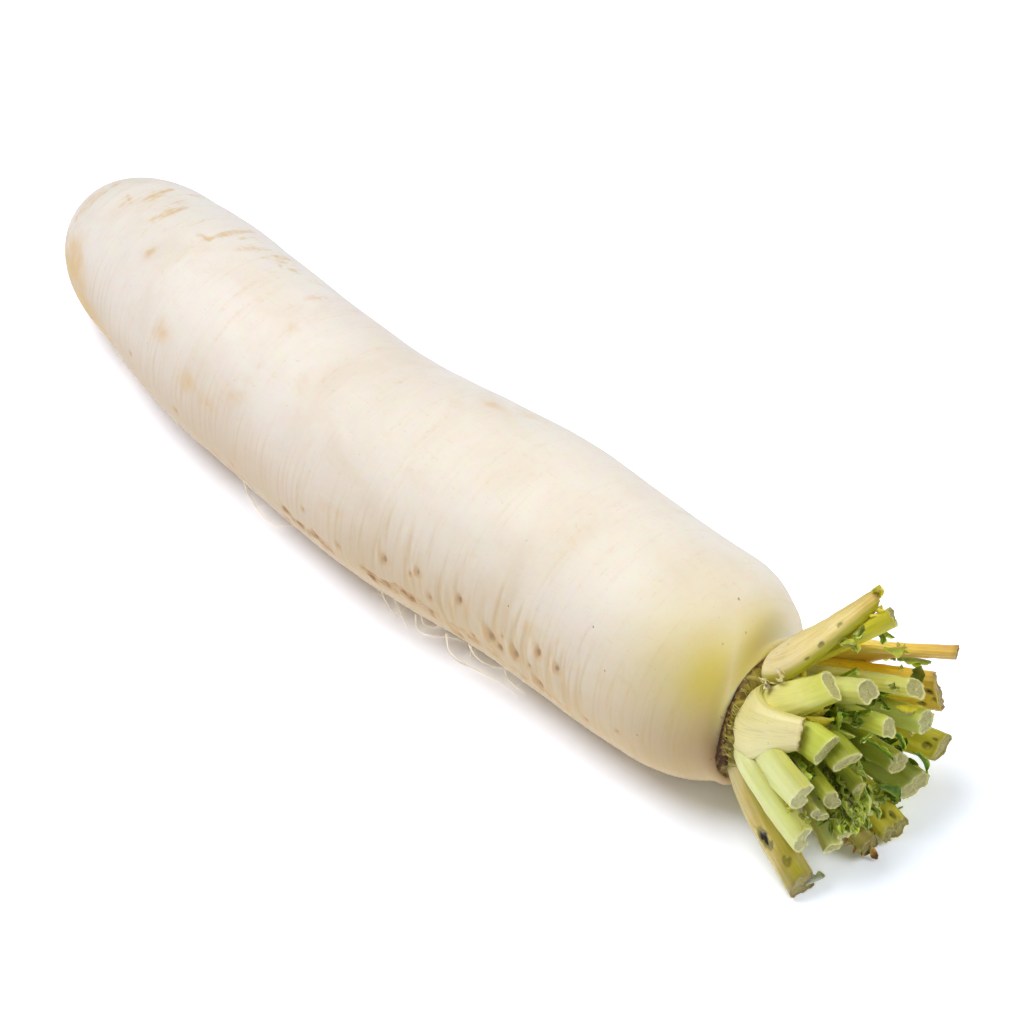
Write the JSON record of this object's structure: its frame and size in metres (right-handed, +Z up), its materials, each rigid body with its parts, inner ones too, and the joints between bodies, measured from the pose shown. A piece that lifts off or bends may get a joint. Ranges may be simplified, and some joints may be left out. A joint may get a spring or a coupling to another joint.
{
  "type": "daikon radish",
  "caption": "Whole daikon radish lying on its side, with cut-off leaf stalks round its crown, a curled leaf heart, torn leaf scraps and fine side rootlets.",
  "frame": {"origin": "on the ground, under the middle of the whole radish as it lies", "axes": "+X from the tail to the crown along the root, +Z up, +Y to the side that the long withered stalk leans to"},
  "size_m": [0.4024, 0.103, 0.0914],
  "materials": {
    "root_skin": "smooth waxy cream-white skin, yellow-green on the shoulder, with tan stains and fine cross wrinkles",
    "pale_stalk": "satin straw-yellow stalk with fine ribs and a dull fibrous cut",
    "withered_stalk": "dry orange-yellow stalk with brown, papery edges",
    "green_stalk": "satin fresh green stalk, paler at its base, with fine ribs and a dull fibrous cut",
    "young_leaf": "crinkled young leaf with light edges",
    "torn_leaf": "torn leaf blade, dark green to olive and yellow",
    "rootlet_skin": "pale fine rootlet"
  },
  "bodies": {
    "root": {"storage_root": "root_skin", "leaf_stalk_01": "pale_stalk", "leaf_stalk_02": "green_stalk", "leaf_stalk_03": "withered_stalk", "leaf_stalk_04": "withered_stalk", "leaf_stalk_05": "green_stalk", "leaf_stalk_06": "green_stalk", "leaf_stalk_07": "green_stalk", "leaf_stalk_08": "pale_stalk", "leaf_stalk_09": "green_stalk", "leaf_stalk_10": "green_stalk", "leaf_stalk_11": "green_stalk", "leaf_stalk_12": "green_stalk", "leaf_stalk_13": "green_stalk", "leaf_stalk_14": "green_stalk", "leaf_stalk_15": "green_stalk", "leaf_stalk_16": "green_stalk", "leaf_stalk_17": "green_stalk", "leaf_stalk_18": "pale_stalk", "leaf_stalk_19": "green_stalk", "leaf_stalk_20": "green_stalk", "leaf_stalk_21": "green_stalk", "leaf_stalk_22": "green_stalk", "leaf_stalk_23": "green_stalk", "leaf_stalk_24": "green_stalk", "leaf_stalk_25": "green_stalk", "leaf_stalk_26": "green_stalk", "heart_leaf_01": "young_leaf", "heart_leaf_02": "young_leaf", "heart_leaf_03": "young_leaf", "heart_leaf_04": "young_leaf", "heart_leaf_05": "young_leaf", "heart_leaf_06": "young_leaf", "leaf_scrap_01": "torn_leaf", "leaf_scrap_02": "torn_leaf", "leaf_scrap_03": "torn_leaf", "leaf_scrap_04": "torn_leaf", "leaf_scrap_05": "torn_leaf", "leaf_scrap_06": "torn_leaf", "leaf_scrap_07": "torn_leaf", "leaf_scrap_08": "torn_leaf", "leaf_scrap_09": "torn_leaf", "leaf_scrap_10": "torn_leaf", "leaf_scrap_11": "torn_leaf", "leaf_scrap_12": "torn_leaf", "leaf_scrap_13": "torn_leaf", "leaf_scrap_14": "torn_leaf", "leaf_scrap_15": "torn_leaf", "leaf_scrap_16": "torn_leaf", "rootlet_01": "rootlet_skin", "rootlet_02": "rootlet_skin", "rootlet_03": "rootlet_skin", "rootlet_04": "rootlet_skin", "rootlet_05": "rootlet_skin", "rootlet_06": "rootlet_skin", "rootlet_07": "rootlet_skin", "rootlet_08": "rootlet_skin", "rootlet_09": "rootlet_skin", "rootlet_10": "rootlet_skin"}
  },
  "joints": []
}
